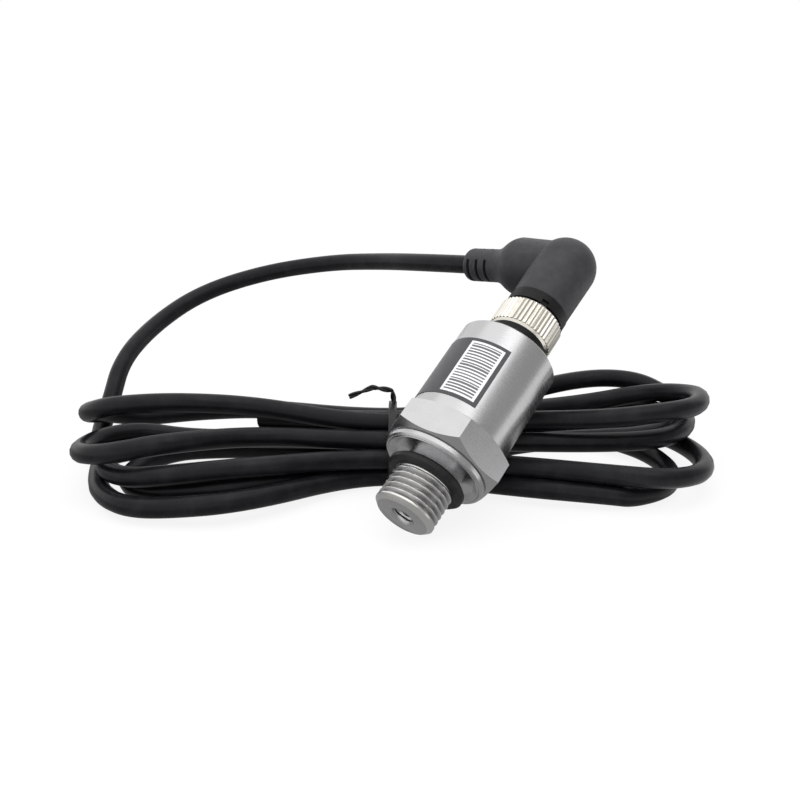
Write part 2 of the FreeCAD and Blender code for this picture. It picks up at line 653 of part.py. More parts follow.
def in_coil_frame(shape):
    placed = shape.copy()
    placed.rotate(v(0, 0, 0), v(0, 0, 1), COIL_TURN)
    placed.translate(v(COIL_WAIST[0], COIL_WAIST[1], 0))
    return placed


def body_envelope():
    """The space that the transmitter needs in the coil while the plug backs off with it."""
    below = -THREAD_R - UNSCREWING_TRAVEL
    sleeve = rod(SLEEVE_R + LABEL_THICKNESS + COIL_CLEARANCE, below, M12_TOP)
    hexagon = rod(HEX_CORNER_R + COIL_CLEARANCE, below, SHOULDER_Z + COIL_CLEARANCE)
    return sleeve.fuse(hexagon)


def cable_coil(bench):
    """The outer shape of the tied coil, with the bed that the transmitter lies in."""
    waist = block(WAIST_LENGTH, WAIST_WIDTH, 0, WAIST_HEIGHT)
    coil = lobe(*LEFT_LOBE).fuse([lobe(*RIGHT_LOBE), waist])
    coil = in_coil_frame(coil.common(coil_roof())).cut(twist_tie())
    return coil.cut(bench(body_envelope()))


def cable_lead(bench, coil):
    """The lead from the strain relief down to the coil."""
    exit_point = bench(along_arm(Part.Vertex(0, 0, RELIEF_END))).Point
    inside = bench(along_arm(Part.Vertex(0, 0, 0))).Point
    out = (exit_point - inside).normalize()
    points = [exit_point, exit_point + out * LEAD_FIRST_RUN] + [v(*p) for p in LEAD_POINTS]
    tube, path, radii = tube_along(points, CABLE_R)
    print("lead points", [tuple(round(c, 2) for c in p) for p in points[:2]])
    print("lead bends", [round(r, 1) for r in radii])
    print("lead volume / section x length", round(tube.Volume / (math.pi * CABLE_R ** 2 * path.Length), 4))
    print("lead length", round(path.Length, 1))
    return tube.cut(coil)


# ---------------------------------------------------------------- the whole part

TRANSMITTER = [
    process_connection, port_seal_ring, cell_seal, sensor_cell, cell_clamp_ring, cell_leads,
    board_spacer, signal_board, main_board, board_chip, board_capacitors, housing_sleeve,
    rating_label, top_seal_ring, connector_housing, contact_pins, pin_leads]
PLUG = [coupling_nut, plug_face_seal, socket_insert, socket_contacts, lock_ring, conductor_cores,
        elbow_overmold]


def lying_placement(shift_x, shift_y, shift_z):
    """From the bench frame to the way the body lies, leaning at LEAN_ANGLE."""
    lean = math.radians(LEAN_ANGLE)
    return FreeCAD.Placement(FreeCAD.Matrix(
        0, -math.sin(lean), math.cos(lean), shift_x,
        1, 0, 0, shift_y,
        0, math.cos(lean), math.sin(lean), shift_z,
        0, 0, 0, 1))


def main():
    os.makedirs("parts", exist_ok=True)
    pieces = {make.__name__: make() for make in TRANSMITTER + PLUG}
    laid = Part.makeCompound(list(pieces.values())).transformed(lying_placement(0, 0, 0).toMatrix())
    box = laid.optimalBoundingBox(False, False)
    place = lying_placement(-box.Center.x, -box.Center.y, -box.ZMin)    # the thread end on the ground
    print("bench origin", place.Base)

    def bench(shape):
        return shape.transformed(place.toMatrix())

    shapes = {name: bench(shape) for name, shape in pieces.items()}
    shapes["cable_coil"] = cable_coil(bench)
    shapes["cable_lead"] = cable_lead(bench, shapes["cable_coil"])
    shapes["twist_tie"] = twist_tie()
    for name, shape in shapes.items():
        shape.exportStep("parts/" + name + ".step")
        print(name, len(shape.Solids), shape.isValid(), round(shape.Volume, 1))


main()
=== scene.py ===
"""Pressure transmitter with its elbow cordset, lying on a coil of its own cable.

The steel body leans over the waist of the coil, with its threaded stud on the ground.  Its
axis has a frame of its own here, called the bench: the port face is at the origin and the
body stands along +Z, as it would on a bench.
"""

import math

import bmesh
import bpy
from mathutils import Euler, Matrix, Vector


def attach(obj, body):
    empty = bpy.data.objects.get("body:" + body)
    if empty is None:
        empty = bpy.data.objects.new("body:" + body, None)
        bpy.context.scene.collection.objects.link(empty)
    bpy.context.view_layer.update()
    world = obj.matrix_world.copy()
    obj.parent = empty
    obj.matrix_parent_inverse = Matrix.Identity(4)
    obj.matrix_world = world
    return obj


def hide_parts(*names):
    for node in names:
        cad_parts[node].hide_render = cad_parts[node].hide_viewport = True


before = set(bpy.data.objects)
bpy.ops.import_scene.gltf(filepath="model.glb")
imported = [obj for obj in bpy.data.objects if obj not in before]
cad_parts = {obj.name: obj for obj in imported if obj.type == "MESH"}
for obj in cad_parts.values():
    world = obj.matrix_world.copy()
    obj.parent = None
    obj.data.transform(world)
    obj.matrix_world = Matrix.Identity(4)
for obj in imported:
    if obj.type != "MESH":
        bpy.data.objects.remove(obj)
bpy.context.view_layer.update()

MM = 0.001

# ---- where the body lies, in the part's frame ----
LEAN = math.radians(34.6)                      # body axis above the ground
TIP = Vector((-31.027, -6.943, 4.904)) * MM    # middle of the port face
BENCH = Matrix((
    (0, -math.sin(LEAN), math.cos(LEAN)),
    (1, 0, 0),
    (0, math.cos(LEAN), math.sin(LEAN)),
))

# ---- where the coil lies ----
COIL_TURN = math.radians(-51.2)
COIL_WAIST = Vector((-6.4, 16.7, 0)) * MM
CABLE_DIAMETER = 4.4 * MM

# ---- the stud, in mm on the bench ----
THREAD_R = 6.5785
THREAD_PITCH = 1.337
THREAD_DEPTH = 0.72
THREAD_END = 8.3
TIP_CHAMFER = 0.9
NECK_R = 6.1
NECK_CUT = 10.0            # the turned stud ends here, half way up the neck
NECK_STEP = 0.25           # the thread's last edge slopes down to the neck over this height
TIP_EDGE_WIDTH = 0.1       # the small break between the end face and the chamfer
TIP_EDGE_HEIGHT = 0.05
THREAD_GAP = 0.35          # from the chamfer to where the groove starts
THREAD_FADE = 0.5          # the groove deepens over this height at each end
THREAD_ROWS = 12           # rows of points in one pitch
THREAD_FLAT = 0.12         # share of half a pitch that is flat, at the crest and at the root
STUD_STEPS = 120           # points round it
PORT_R = 2.4
PORT_CHAMFER = 0.4
PORT_PITCH = 0.9
PORT_DEPTH = 0.22
PORT_FADE = 0.3
PORT_THREAD_STOP = 0.5     # the port's groove stops this far before the cut

# ---- edges that stay crisp, in degrees ----
CRISP_PLAIN = 30
CRISP_TURNED = 28
CRISP_MOULDED = 35
CRISP_KNURL = 12
CRISP_TIE = 40

# ---- how near two points count as one ----
WELD_CAD = 1e-6            # in metres
WELD_SPUN = 1e-5           # this and the next are in mm
WELD_TIE = 1e-4
ON_RADIUS = 1e-4           # and so near to a radius, in mm, counts as on it


# ---------------------------------------------------------------- camera

CAMERA_PLACE = Vector((-185.273, -130.724, 93.275)) * MM
CAMERA_TILT = math.radians(72)              # up from looking straight down
CAMERA_HEADING = math.radians(-51.157)      # round the vertical
CAMERA_LENS = 49.5
FILM_WIDTH = 36
NEAREST = 10 * MM


def camera():
    """The camera looks down at the body from in front of the stud."""
    data = bpy.data.cameras.new("studio_camera")
    data.lens = CAMERA_LENS
    data.sensor_width = FILM_WIDTH
    data.clip_start = NEAREST
    view = bpy.data.objects.new("studio_camera", data)
    view.location = CAMERA_PLACE
    view.rotation_euler = Euler((CAMERA_TILT, 0, CAMERA_HEADING))
    bpy.context.scene.collection.objects.link(view)
    bpy.context.scene.camera = view


# ---------------------------------------------------------------- cable

# The free lead, from the strain relief to the left end of the coil, in the part's frame.
LEAD = [
    (29.01, 19.88, 42.55), (30.06, 35.77, 41.04), (35, 53, 38.5), (35.5, 71, 36),
    (26.5, 88, 32.5), (10.5, 96.3, 28.4), (-6, 96.2, 23), (-22, 90.3, 17.7), (-29.9, 85.4, 9.6),
]
# From here on everything is in the coil's frame: x along the coil, y away from the viewer.
# These values and the lead's last point were chosen one by one.  A fitting program then eased
# them, so that no bend is tight, and some were set again.
LEAD_ON_COIL = [
    (-69.7, 17.1, 3.5), (-66.1, 5.7, 2.3), (-63.5, -8.6, 2.5), (-60.4, -17.3, 2.8),
    (-54.2, -24.7, 3.2),
]
# Places along the coil where a run is steered: left lobe, waist, right lobe.
STATIONS = (-46, -29, -8, 8, 28, 47)
# Each turn: its front run as (y, z) at the stations, the waist's pair sharing one value;
# its right end as (tip x, middle y, half width, length, slant, z in front, z at the tip,
# z behind); its back run from right to left; and the left end that leads to the next turn.
TURNS = [
    ([(-26.8, 3.5), (-26.9, 5.0), (-5.9, 2.2), (-15.9, 3.8), (-18.8, 3.2)],
     (63.0, -0.1, 16.9, 16.6, -2.8, 2.2, 2.2, 3.2),
     [(18.7, 2.6), (19.7, 2.2), (3.9, 2.3), (11.4, 2.3), (10.6, 2.2)],
     (-57.2, -4.7, 12.6, 9.1, 0.0, 3.2, 2.2, 2.2)),
    ([(-19.5, 4.0), (-20.5, 5.5), (-0.5, 2.2), (2.0, 7.0), (1.1, 8.6)],
     (66.3, 15.2, 13.8, 13.7, 0.1, 8.9, 9.2, 6.7),
     [(29.3, 6.8), (22.6, 6.7), (10.5, 2.6), (15.5, 2.0), (15.8, 3.1)],
     (-61.9, -3.8, 15.3, 11.5, -1.0, 7.2, 6.3, 1.8)),
    ([(-22.0, 8.7), (-20.1, 9.8), (-7.5, 6.8), (-13.4, 7.5), (-18.4, 7.5)],
     (70.1, 1.8, 19.8, 17.2, -4.2, 6.8, 4.9, 4.6),
     [(24.8, 5.7), (16.6, 7.4), (4.6, 6.8), (6.3, 6.6), (8.2, 6.0)],
     (-67.1, -5.9, 13.9, 14.0, -0.3, 12.7, 8.7, 8.0)),
    ([(-19.6, 14.9), (-4.5, 11.2), (-4.6, 10.2), (-3.6, 9.4), (-4.1, 9.4)],
     (70.0, 12.9, 16.4, 14.6, 2.3, 9.6, 9.2, 14.0),
     [(31.7, 13.4), (21.5, 11.8), (10.1, 10.5), (18.9, 9.7), (24.8, 7.1)],
     (-69.4, 9.8, 12.8, 13.5, 0.0, 17.7, 11.5, 6.2)),
    ([(-3.9, 18.8), (2.3, 15.8), (-1.2, 13.1), (-1.2, 13.5), (-6.6, 15.7)],
     (71.3, 8.8, 14.1, 14.2, 0.1, 17.0, 16.1, 12.4),
     [(23.4, 9.4), (11.8, 11.3), (5.0, 11.5)],
     None),
]
CABLE_END = [(-20.0, 6.6, 11.3), (-29.7, 8.5, 10.9)]
# Angles round a lobe's end where it is steered, and how far outside the bend they lie.
END_ANGLES = (-72, -36, 0, 36, 72)
END_REACH = 1.03
END_WIDTH = 1.05
CABLE_SMOOTHNESS = 12      # steps from one steering point to the next
CABLE_ROUNDNESS = 5        # how finely its round section is divided


def coil_to_part(point):
    """A point of the coil's frame, in mm, to the part's frame, in metres."""
    return Matrix.Rotation(COIL_TURN, 3, "Z") @ (Vector(point) * MM) + COIL_WAIST


def lobe_end(end, side):
    """The steering points round one end of a lobe, from front to back."""
    tip, middle, half_width, length, slant, front_z, tip_z, back_z = end
    points = []
    for angle in END_ANGLES:
        c = math.cos(math.radians(angle))
        s = math.sin(math.radians(angle))
        share = abs(angle) / END_ANGLES[-1]
        far_z = front_z if angle < 0 else back_z
        points.append((
            tip - side * length * (1 - END_REACH * c),
            middle + END_WIDTH * half_width * s + slant * c,
            tip_z + (far_z - tip_z) * share,
        ))
    return points


def coil_points():
    """Every turn in order: front run, right end, back run, left end."""
    points = []
    for front, right, back, left in TURNS:
        left_lobe, left_waist, waist, right_waist, right_lobe = front
        run = [left_lobe, left_waist, waist, waist, right_waist, right_lobe]
        points += [(x, y, z) for x, (y, z) in zip(STATIONS, run)]
        points += lobe_end(right, 1)
        run = back[:3] + back[2:]
        points += [(x, y, z) for x, (y, z) in zip(reversed(STATIONS), run)]
        if left:
            points += reversed(lobe_end(left, -1))
    return points


def smooth_line(name, points, closed=False, dimensions="3D", resolution=6, unit=1.0):
    """A curve that is steered by the points.  Its thickness is given in the unit."""
    line = bpy.data.curves.new(name, "CURVE")
    line.dimensions = dimensions
    spline = line.splines.new("NURBS")
    spline.points.add(len(points) - 1)
    for knot, place in zip(spline.points, points):
        knot.co = (*place, 1)
        knot.radius = unit
    spline.order_u = 3
    spline.use_cyclic_u = closed
    spline.use_endpoint_u = not closed
    spline.resolution_u = resolution
    return line


def cable():
    """The whole cable: one smooth line from the strain relief to its bare end."""
    route = [Vector(p) * MM for p in LEAD]
    route += [coil_to_part(p) for p in LEAD_ON_COIL + coil_points() + CABLE_END]
    line = smooth_line("cable", route, resolution=CABLE_SMOOTHNESS, unit=MM)
    line.bevel_depth = CABLE_DIAMETER / MM / 2
    line.bevel_resolution = CABLE_ROUNDNESS
    line.use_fill_caps = True
    piece = bpy.data.objects.new("cable", line)
    bpy.context.scene.collection.objects.link(piece)
    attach(piece, "plug_and_cable")
    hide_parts("cable_lead", "cable_coil")
    return piece


# ---------------------------------------------------------------- meshes

def new_piece(name, bm, body):
    """Finish a bmesh as an object at the origin that rides on its body."""
    mesh = bpy.data.meshes.new(name)
    bm.to_mesh(mesh)
    bm.free()
    piece = bpy.data.objects.new(name, mesh)
    bpy.context.scene.collection.objects.link(piece)
    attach(piece, body)
    return piece


def shade(mesh, angle):
    """Smooth everywhere but across edges sharper than the angle."""
    limit = math.radians(angle)
    bm = bmesh.new()
    bm.from_mesh(mesh)
    for face in bm.faces:
        face.smooth = True
    for edge in bm.edges:
        edge.smooth = len(edge.link_faces) == 2 and edge.calc_face_angle(0) < limit
    bm.to_mesh(mesh)
    bm.free()


def lay_down(bm):
    """From mm on the bench to the part's frame in metres."""
    bmesh.ops.scale(bm, verts=bm.verts, vec=(MM, MM, MM))
    bmesh.ops.transform(bm, verts=bm.verts, matrix=BENCH.to_4x4())
    bmesh.ops.translate(bm, verts=bm.verts, vec=TIP)


def to_bench(point):
    """From the part's frame in metres to mm on the bench."""
    return BENCH.transposed() @ (point - TIP) / MM


def spun(outline, steps=96):
    """Spin a closed outline of (radius, height) round the bench's axis."""
    bm = bmesh.new()
    verts = [bm.verts.new((r, 0, z)) for r, z in outline]
    edges = [bm.edges.new((a, b)) for a, b in zip(verts, verts[1:] + verts[:1])]
    bmesh.ops.spin(bm, geom=verts + edges, cent=(0, 0, 0), axis=(0, 0, 1),
                   angle=2 * math.pi, steps=steps, use_merge=True)
    bmesh.ops.remove_doubles(bm, verts=bm.verts, dist=WELD_SPUN)
    bmesh.ops.recalc_face_normals(bm, faces=bm.faces)
    return bm


def join(bm, other, name):
    """Add all of another bmesh to this one, and free the other."""
    mesh = bpy.data.meshes.new(name)
    other.to_mesh(mesh)
    other.free()
    bm.from_mesh(mesh)
    bpy.data.meshes.remove(mesh)


def spaced(start, end, count):
    """Points from start up to, but not at, end."""
    return [start + (end - start) * i / count for i in range(count)]


def merged_copy(node):
    """A copy of a CAD node's mesh with its loose triangles joined up."""
    bm = bmesh.new()
    bm.from_mesh(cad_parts[node].data)
    bmesh.ops.remove_doubles(bm, verts=bm.verts, dist=WELD_CAD)
    return bm


def copied_piece(node, name, body, angle=CRISP_PLAIN):
    """A CAD node shown through a merged copy, so that its round faces shade smoothly."""
    piece = new_piece(name, merged_copy(node), body)
    shade(piece.data, angle)
    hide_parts(node)
    return piece


# ---------------------------------------------------------------- process connection

def ridge(height, angle, pitch):
    """How deep into a thread's groove a point is: 0 on the crest, 1 at the root."""
    phase = (height / pitch - angle / (2 * math.pi)) % 1
    slope = abs(2 * phase - 1)
    return min(1, max(0, (slope - THREAD_FLAT) / (1 - 2 * THREAD_FLAT)))


def cut_thread(bm, radius, pitch, depth, start, end, fade):
    """Press a helical groove into the rows of points that lie on one radius."""
    for vert in bm.verts:
        r = math.hypot(vert.co.x, vert.co.y)
        z = vert.co.z
        if abs(r - radius) > ON_RADIUS or not start <= z <= end:
            continue
        near_end = min(1, max(0, min(z - start, end - z) / fade))
        groove = depth * near_end * ridge(z, math.atan2(vert.co.y, vert.co.x), pitch)
        vert.co.xy *= (radius - groove) / r


def threaded_stud():
    """The turned stud with its outer thread and the thread inside its port."""
    port_rows = int(THREAD_ROWS * (NECK_CUT - PORT_CHAMFER) / THREAD_PITCH / 2)
    outer_rows = int(THREAD_ROWS * (THREAD_END - TIP_CHAMFER) / THREAD_PITCH)
    chamfer_r = THREAD_R - TIP_CHAMFER
    outline = [(PORT_R, z) for z in spaced(NECK_CUT, PORT_CHAMFER, port_rows)]
    outline += [(PORT_R, PORT_CHAMFER), (PORT_R + PORT_CHAMFER, 0)]
    outline += [(chamfer_r - TIP_EDGE_WIDTH, 0), (chamfer_r, TIP_EDGE_HEIGHT)]
    outline += [(THREAD_R, z) for z in spaced(TIP_CHAMFER, THREAD_END, outer_rows)]
    outline += [(THREAD_R, THREAD_END), (NECK_R, THREAD_END + NECK_STEP), (NECK_R, NECK_CUT)]
    bm = spun(outline, STUD_STEPS)
    cut_thread(bm, THREAD_R, THREAD_PITCH, THREAD_DEPTH,
               TIP_CHAMFER + THREAD_GAP, THREAD_END, THREAD_FADE)
    cut_thread(bm, PORT_R, PORT_PITCH, PORT_DEPTH,
               PORT_CHAMFER, NECK_CUT - PORT_THREAD_STOP, PORT_FADE)
    return bm


def process_connection():
    """Hexagon and collar as turned, joined to the threaded stud."""
    bm = merged_copy("process_connection")
    axis = BENCH @ Vector((0, 0, 1))
    cut = bmesh.ops.bisect_plane(bm, geom=bm.verts[:] + bm.edges[:] + bm.faces[:],
                                 plane_co=TIP + axis * NECK_CUT * MM, plane_no=axis,
                                 clear_inner=True)
    rim = [g for g in cut["geom_cut"] if isinstance(g, bmesh.types.BMEdge)]
    bmesh.ops.triangle_fill(bm, edges=rim, use_beauty=True, use_dissolve=False)
    stud = threaded_stud()
    lay_down(stud)
    join(bm, stud, "threaded_stud")
    piece = new_piece("process_connection_body", bm, "transmitter")
    shade(piece.data, CRISP_TURNED)
    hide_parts("process_connection")
    return piece


# ---------------------------------------------------------------- connector

M12_R = 6.0
M12_PITCH = 1.0
M12_DEPTH = 0.6
M12_FROM, M12_TO = 47.6, 52.0        # the threaded end, in mm on the bench
SAME_RADIUS = 0.02                   # a point this near to M12_R lies on the threaded wall
M12_ROWS = 50                        # rows of points along the thread
M12_CHAMFER = 0.3
M12_FADE = 0.3
M12_SUNK = 0.25                      # how far the jacket's inside lies under the thread's root
M12_INSET = 0.02                     # the jacket is this much short of the housing's edges
SLACK = 0.05                         # between the jacket's groove and the wall pulled in under it


def threaded_connector():
    """The connector's housing with an M12 thread on the end that the nut screws on."""
    bm = merged_copy("connector_housing")
    root = M12_R - M12_DEPTH - SLACK
    for vert in bm.verts:
        place = to_bench(vert.co)
        radius = math.hypot(place.x, place.y)
        if place.z > M12_FROM - SLACK and abs(radius - M12_R) < SAME_RADIUS:
            place.xy *= root / radius
            vert.co = TIP + BENCH @ place * MM
    low, high = M12_FROM + M12_INSET, M12_TO - M12_INSET
    inside = root - M12_SUNK
    outline = [(inside, low)]
    outline += [(M12_R, z) for z in spaced(low, high - M12_CHAMFER, M12_ROWS)]
    outline += [(M12_R, high - M12_CHAMFER), (M12_R - M12_CHAMFER, high), (inside, high)]
    jacket = spun(outline)
    cut_thread(jacket, M12_R, M12_PITCH, M12_DEPTH,
               low + M12_FADE, high - M12_CHAMFER, M12_FADE)
    lay_down(jacket)
    join(bm, jacket, "connector_thread")
    piece = new_piece("threaded_connector", bm, "transmitter")
    shade(piece.data, CRISP_TURNED)
    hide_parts("connector_housing")
    return piece


# ---------------------------------------------------------------- elbow

ARM_ANGLE = math.radians(-6.6)       # way the arm points, round the bench's axis
ARM_HEIGHT = 70.8
ARM_SHOULDER = 11.4                  # along the arm, where it starts to narrow
ARM_WAIST = 18.8                     # where the strain relief begins
RELIEF_R = 3.95
FULLER = 0.085                       # how much rounder the shoulder is than the solid's


def elbow():
    """The moulded elbow, with the arm's shoulder drawn a little fuller than its solid."""
    bm = merged_copy("elbow_overmold")
    turn = Matrix.Rotation(ARM_ANGLE, 3, "Z")
    for vert in bm.verts:
        on_arm = turn.transposed() @ to_bench(vert.co)
        along = on_arm.x
        off = Vector((0, on_arm.y, on_arm.z - ARM_HEIGHT))
        if ARM_SHOULDER <= along <= ARM_WAIST and off.length > RELIEF_R:
            share = (ARM_WAIST - along) / (ARM_WAIST - ARM_SHOULDER)
            vert.co += BENCH @ (turn @ (off * FULLER * share)) * MM
    piece = new_piece("elbow", bm, "plug_and_cable")
    shade(piece.data, CRISP_MOULDED)
    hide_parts("elbow_overmold")
    return piece


# ---------------------------------------------------------------- twist tie

TIE_X = 1.0
TIE_HALF_WIDTH = 0.9
TIE_HALF_THICKNESS = 0.33
TIE_WIRE_R = 0.34
TIE_ROUNDNESS = 3
TIE_WIRE_ROUNDNESS = 2
TIE_STEPS = 9              # points of the winding in each stretch of the tail
TIE_TWIST = 13             # points of the winding in a full twist
TIE_WIND = 0.9             # how far each end winds off the middle, in wire radii
# The band, looking along the coil: (y, z) round the waist's runs.
TIE_BAND = [
    (-9.4, 0.4), (-3, 0.4), (5, 0.4), (12.2, 0.5), (13.5, 1.6), (13.3, 6), (13.4, 11.2),
    (11.4, 13.9), (5.5, 15.6), (1.5, 16.0), (-3, 15.9), (-7.4, 14.4), (-9.6, 11.6),
    (-10.6, 7.0), (-10.6, 1.4),
]
# The twisted ends, which stick up and are bent over to the left.
TIE_TAIL = [(1.4, 3.6, 15.4), (0.9, 3.8, 19.0), (-3.5, 4.2, 19.6), (-9.5, 5.2, 16.8)]


def curve_to_bmesh(line):
    """The mesh that a curve makes, as a bmesh."""
    helper = bpy.data.objects.new(line.name, line)
    bpy.context.scene.collection.objects.link(helper)
    bpy.context.view_layer.update()
    depsgraph = bpy.context.evaluated_depsgraph_get()
    mesh = bpy.data.meshes.new_from_object(helper.evaluated_get(depsgraph))
    bm = bmesh.new()
    bm.from_mesh(mesh)
    bpy.data.meshes.remove(mesh)
    bpy.data.objects.remove(helper)
    bpy.data.curves.remove(line)
    return bm


def twist_tie():
    """A flat tie with a wire in it: a band round the waist and two ends twisted together."""
    around = [(y, z, 0) for y, z in TIE_BAND]
    band = smooth_line("tie_band", around, closed=True, dimensions="2D")
    band.fill_mode = "NONE"
    band.extrude = TIE_HALF_WIDTH - TIE_HALF_THICKNESS
    band.bevel_depth = TIE_HALF_THICKNESS
    band.bevel_resolution = TIE_ROUNDNESS
    bm = curve_to_bmesh(band)
    # The curve's own x and y are the coil's y and z.
    across = Matrix(((0, 0, 1), (1, 0, 0), (0, 1, 0)))
    bmesh.ops.transform(bm, verts=bm.verts, matrix=across.to_4x4())
    bmesh.ops.translate(bm, verts=bm.verts, vec=(TIE_X, 0, 0))
    for start in (0, math.pi):
        join(bm, twisted_end(start), "tie_end")
    bmesh.ops.remove_doubles(bm, verts=bm.verts, dist=WELD_TIE)
    for vert in bm.verts:
        vert.co = coil_to_part(vert.co)
    bmesh.ops.recalc_face_normals(bm, faces=bm.faces)
    piece = new_piece("twist_tie_wire", bm, "plug_and_cable")
    shade(piece.data, CRISP_TIE)
    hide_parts("twist_tie")
    return piece


def twisted_end(start):
    """One of the two ends: it winds round the line that both follow."""
    middle = [Vector(p) for p in TIE_TAIL]
    points = []
    for i, (a, b) in enumerate(zip(middle, middle[1:])):
        along = (b - a).normalized()
        side = along.orthogonal().normalized()
        up = along.cross(side)
        for j in range(TIE_STEPS):
            turn = start + 2 * math.pi * (i * TIE_STEPS + j) / TIE_TWIST
            offset = side * math.cos(turn) + up * math.sin(turn)
            points.append(a.lerp(b, j / TIE_STEPS) + offset * TIE_WIRE_R * TIE_WIND)
    line = smooth_line("tie_end", points)
    line.bevel_depth = TIE_WIRE_R
    line.bevel_resolution = TIE_WIRE_ROUNDNESS
    line.use_fill_caps = True
    return curve_to_bmesh(line)


# ---------------------------------------------------------------- finishes

NOISE_ROUGHNESS = 0.55
MID_TONES = (0.3, 0.7)     # the part of a noise's range that carries its pattern


def new_node(tree, kind, **values):
    """A shader node with some of its settings made."""
    node = tree.nodes.new(kind)
    for key, value in values.items():
        setattr(node, key, value)
    return node


class Finish:
    """A material in the making.  Its places are in mm, on the bench unless told otherwise."""

    def __init__(self, name, color, roughness, metallic=0.0, gloss=0.5, on_bench=True):
        self.material = bpy.data.materials.new(name)
        self.material.use_nodes = True
        self.tree = self.material.node_tree
        self.shader = self.tree.nodes["Principled BSDF"]
        self.shader.inputs["Base Color"].default_value = (*color, 1)
        self.shader.inputs["Roughness"].default_value = roughness
        self.shader.inputs["Metallic"].default_value = metallic
        self.shader.inputs["Specular IOR Level"].default_value = gloss
        self.color = color
        place = self.add("ShaderNodeTexCoord")
        mapping = self.add("ShaderNodeMapping", vector_type="TEXTURE")
        if on_bench:
            mapping.inputs["Location"].default_value = TIP
            mapping.inputs["Rotation"].default_value = BENCH.to_euler()
        mapping.inputs["Scale"].default_value = (MM, MM, MM)
        self.link(place.outputs["Object"], mapping.inputs["Vector"])
        self.place = mapping.outputs["Vector"]

    def add(self, kind, **values):
        return new_node(self.tree, kind, **values)

    def link(self, output, target):
        self.tree.links.new(output, target)

    def stretched(self, scale):
        """The place, stretched by a number for each axis."""
        node = self.add("ShaderNodeVectorMath", operation="MULTIPLY")
        self.link(self.place, node.inputs[0])
        node.inputs[1].default_value = scale
        return node.outputs[0]

    def noise(self, scale, detail, stretch=None):
        """A cloudy pattern; the scale is in patches a mm."""
        node = self.add("ShaderNodeTexNoise")
        node.inputs["Scale"].default_value = scale
        node.inputs["Detail"].default_value = detail
        node.inputs["Roughness"].default_value = NOISE_ROUGHNESS
        self.link(self.stretched(stretch) if stretch else self.place, node.inputs["Vector"])
        return node.outputs["Fac"]

    def spread(self, value, low, high, inputs=MID_TONES):
        """Stretch a value from its inputs' range to the range from low to high."""
        node = self.add("ShaderNodeMapRange")
        self.link(value, node.inputs["Value"])
        node.inputs["From Min"].default_value = inputs[0]
        node.inputs["From Max"].default_value = inputs[1]
        node.inputs["To Min"].default_value = low
        node.inputs["To Max"].default_value = high
        return node.outputs["Result"]

    def math(self, operation, a, b=None):
        """Work on one or two values; each is a number or an output."""
        node = self.add("ShaderNodeMath", operation=operation)
        for slot, value in zip(node.inputs, (a, b)):
            if value is None:
                continue
            if isinstance(value, (int, float)):
                slot.default_value = value
            else:
                self.link(value, slot)
        return node.outputs[0]

    def both(self, a, b):
        """The product of two values: where each is 0 or 1, it's 1 where both are."""
        return self.math("MULTIPLY", a, b)

    def between(self, value, low, high):
        """1 where the value lies between two numbers, and 0 elsewhere."""
        return self.both(self.math("GREATER_THAN", value, low),
                         self.math("LESS_THAN", value, high))

    def mixed(self, first, first_share, second, second_share):
        """The sum of two values, each with its share."""
        return self.math("ADD", self.both(first, first_share), self.both(second, second_share))

    def blend(self, share, first, second):
        """Mix two colours; each is a colour or an output."""
        node = self.add("ShaderNodeMix", data_type="RGBA")
        self.link(share, node.inputs["Factor"])
        color_slots = (node.inputs[6], node.inputs[7])
        for slot, value in zip(color_slots, (first, second)):
            if isinstance(value, (tuple, list)):
                slot.default_value = (*value, 1)
            else:
                self.link(value, slot)
        return node.outputs[2]

    def paint(self, color):
        self.link(color, self.shader.inputs["Base Color"])

    def tint(self, share, other):
        """Vary the colour towards another one."""
        self.paint(self.blend(share, self.color, other))

    def rough(self, value, low, high):
        """Vary the roughness from low to high."""
        self.link(self.spread(value, low, high), self.shader.inputs["Roughness"])

    def bump(self, value, distance_mm, strength):
        """Raise the surface by a value, up to a distance."""
        node = self.add("ShaderNodeBump")
        node.inputs["Distance"].default_value = distance_mm * MM
        node.inputs["Strength"].default_value = strength
        self.link(value, node.inputs["Height"])
        self.link(node.outputs["Normal"], self.shader.inputs["Normal"])

    def parts(self):
        """x, y and z on the bench, in mm."""
        node = self.add("ShaderNodeSeparateXYZ")
        self.link(self.place, node.inputs[0])
        return node.outputs


# Where the stud's finish changes, in mm, for its painted shade and painted highlights:
# inward from the thread's outer radius, or up the bench.
ROOT_DARK, ROOT_CLEAR = 0.75, 0.25
CREST_WIDTH = 0.14
CHAMFER_WIDTH = 0.93
JUST_OUTSIDE = 0.1
PORT_WALL = 1.5            # the steel round the port stays clean this far out
END_FACE = 0.03
CREST_OVERRUN = 0.2


